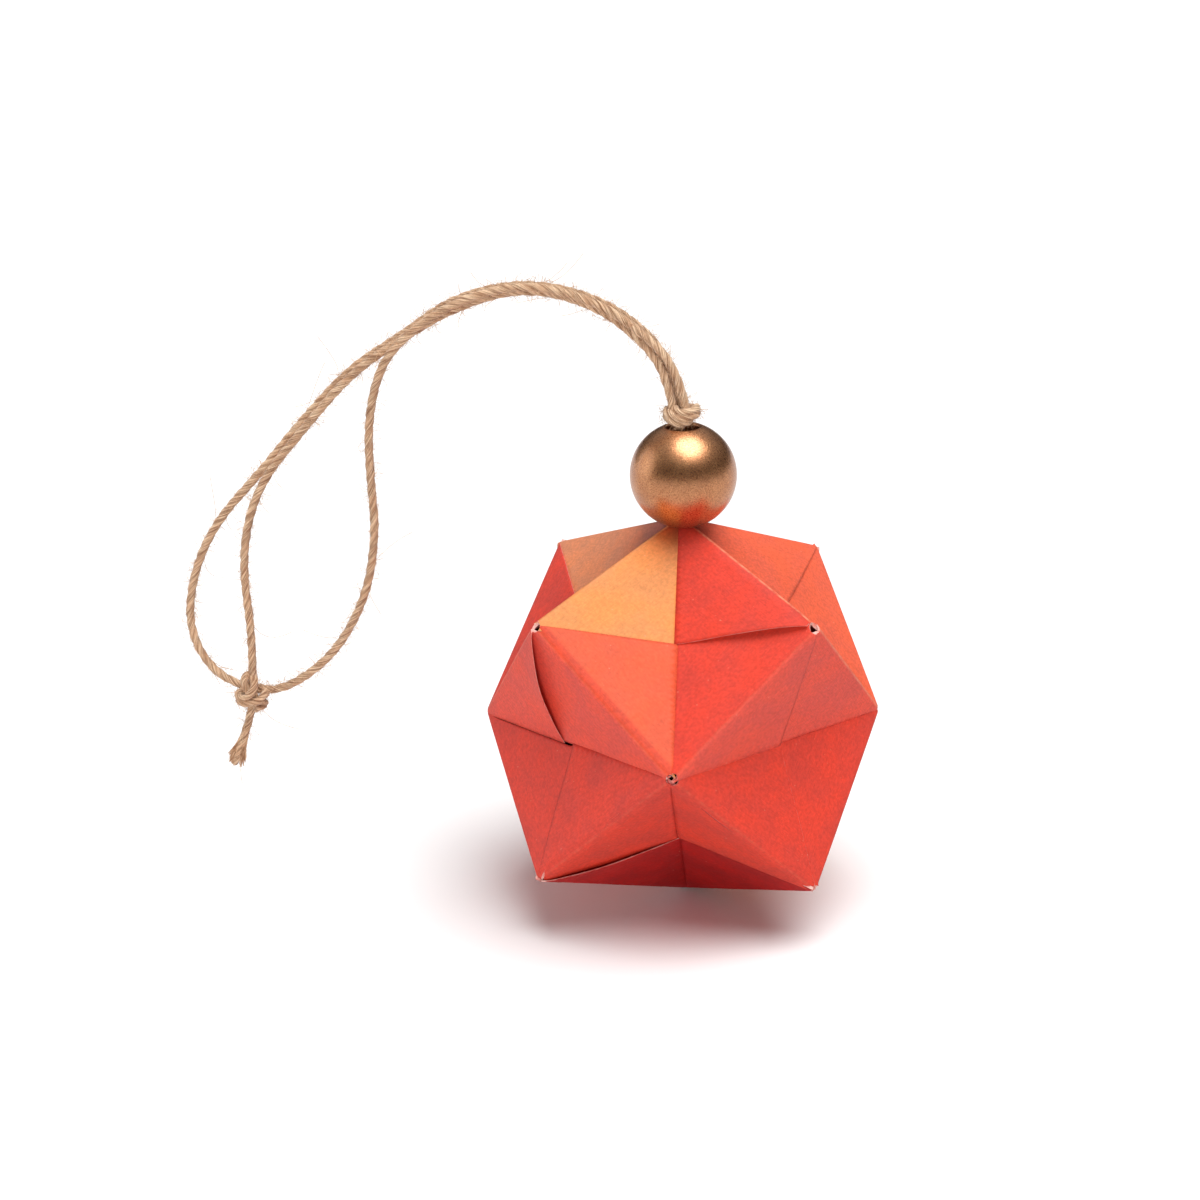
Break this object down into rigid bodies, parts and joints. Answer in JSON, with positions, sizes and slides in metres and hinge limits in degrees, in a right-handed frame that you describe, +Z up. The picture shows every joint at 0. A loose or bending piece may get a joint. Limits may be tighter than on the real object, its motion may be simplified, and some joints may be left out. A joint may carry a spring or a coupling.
{
  "type": "kusudama paper ball",
  "caption": "Hanging ball of interlocked folded paper sheets forming a star of shallow pyramids, with a bronze bead on top and a knotted twine loop.",
  "frame": {"origin": "hanging point, where the three strands of twine leave the knot on top of the bead", "axes": "+Z up along the ball's axis through its top tip and the bead, -Y towards the front, +X to the right with the loop lying out to -X"},
  "size_m": [0.136, 0.0734, 0.1172],
  "materials": {
    "red_paper": "soft hand-dyed red paper, matt, slightly mottled, with paler raw edges and worn folds",
    "orange_paper": "hand-dyed paper that runs from orange to red, matt and mottled",
    "bronze_bead": "wooden bead in satin bronze paint with a fine metallic grain",
    "jute_twine": "natural jute twine, twisted strands with loose fibres"
  },
  "bodies": {
    "root": {"paper_unit_top_front": "red_paper", "paper_unit_top_left": "orange_paper", "paper_unit_top_right": "red_paper", "paper_unit_top_back": "orange_paper", "paper_unit_bottom_front": "red_paper", "paper_unit_bottom_left": "red_paper", "paper_unit_bottom_right": "red_paper", "paper_unit_bottom_back": "orange_paper", "paper_unit_front_left": "red_paper", "paper_unit_front_right": "red_paper", "paper_unit_back_left": "red_paper", "paper_unit_back_right": "red_paper", "bead": "bronze_bead", "bead_knot": "jute_twine", "loop_twine": "jute_twine", "tail_twine": "jute_twine", "loop_knot": "jute_twine", "inner_twine": "jute_twine", "anchor_knot": "jute_twine"}
  },
  "joints": []
}
